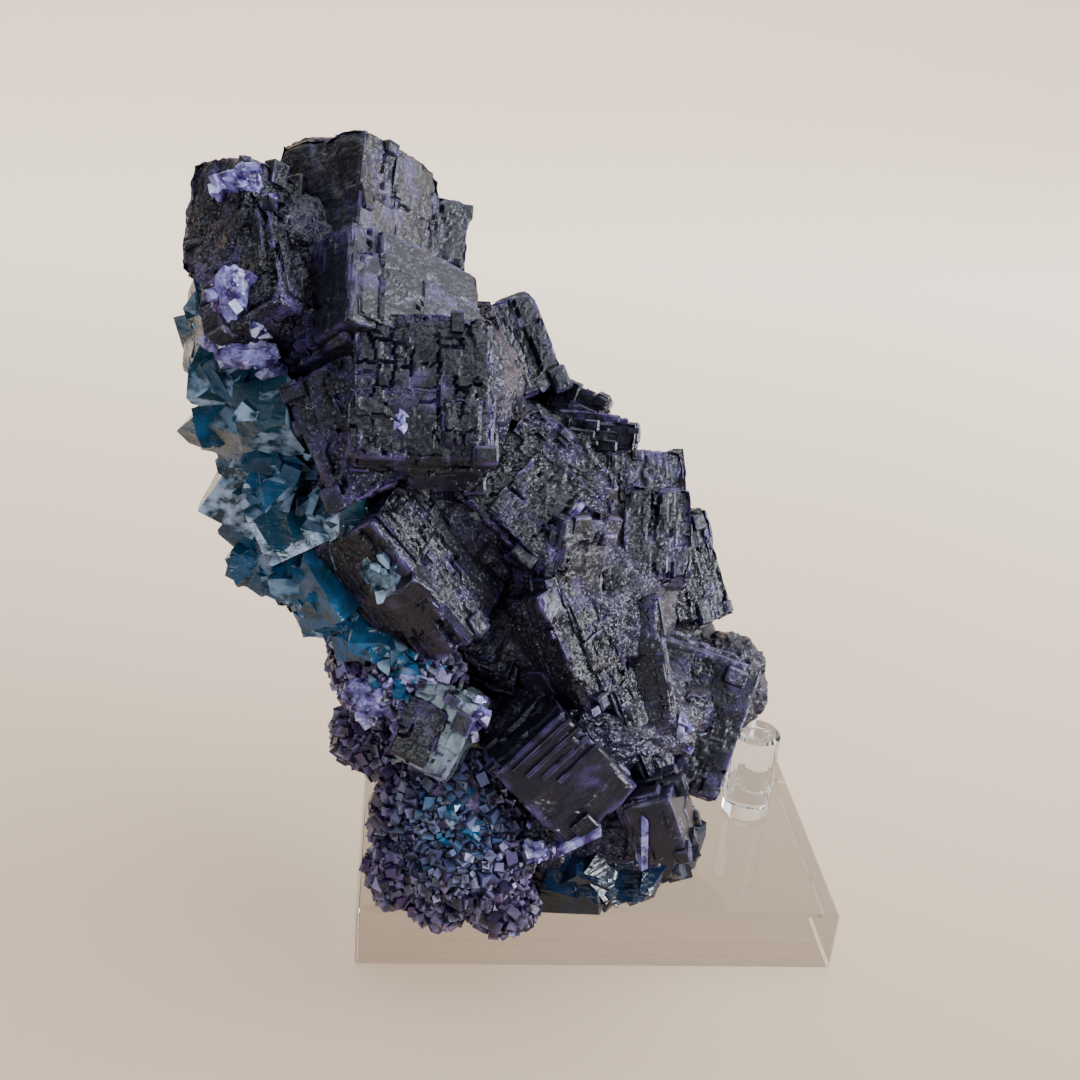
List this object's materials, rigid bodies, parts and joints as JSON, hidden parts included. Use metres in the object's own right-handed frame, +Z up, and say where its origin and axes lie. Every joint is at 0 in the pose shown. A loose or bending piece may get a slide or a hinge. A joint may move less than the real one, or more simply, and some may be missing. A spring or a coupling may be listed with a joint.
{
  "type": "fluorite specimen on an acrylic peg stand",
  "caption": "Leaning group of dark purple-black fluorite cubes, with blue broken edge and purple druse, on a clear acrylic plate with pegs.",
  "frame": {"origin": "centre of the underside of the stand's plate", "axes": "+Z up, +X to the right along the plate's long side, +Y to the back"},
  "size_m": [0.1222, 0.0858, 0.1442],
  "materials": {
    "fluorite": "natural crystal faces, rough mosaic growth with glossy cleaved spots",
    "clear_acrylic": "polished clear acrylic"
  },
  "bodies": {
    "root": {"fluorite_cluster": "fluorite", "stand_base": "clear_acrylic", "stand_peg_rear_right": "clear_acrylic", "stand_peg_rear_left": "clear_acrylic", "stand_peg_front": "clear_acrylic"}
  },
  "joints": []
}
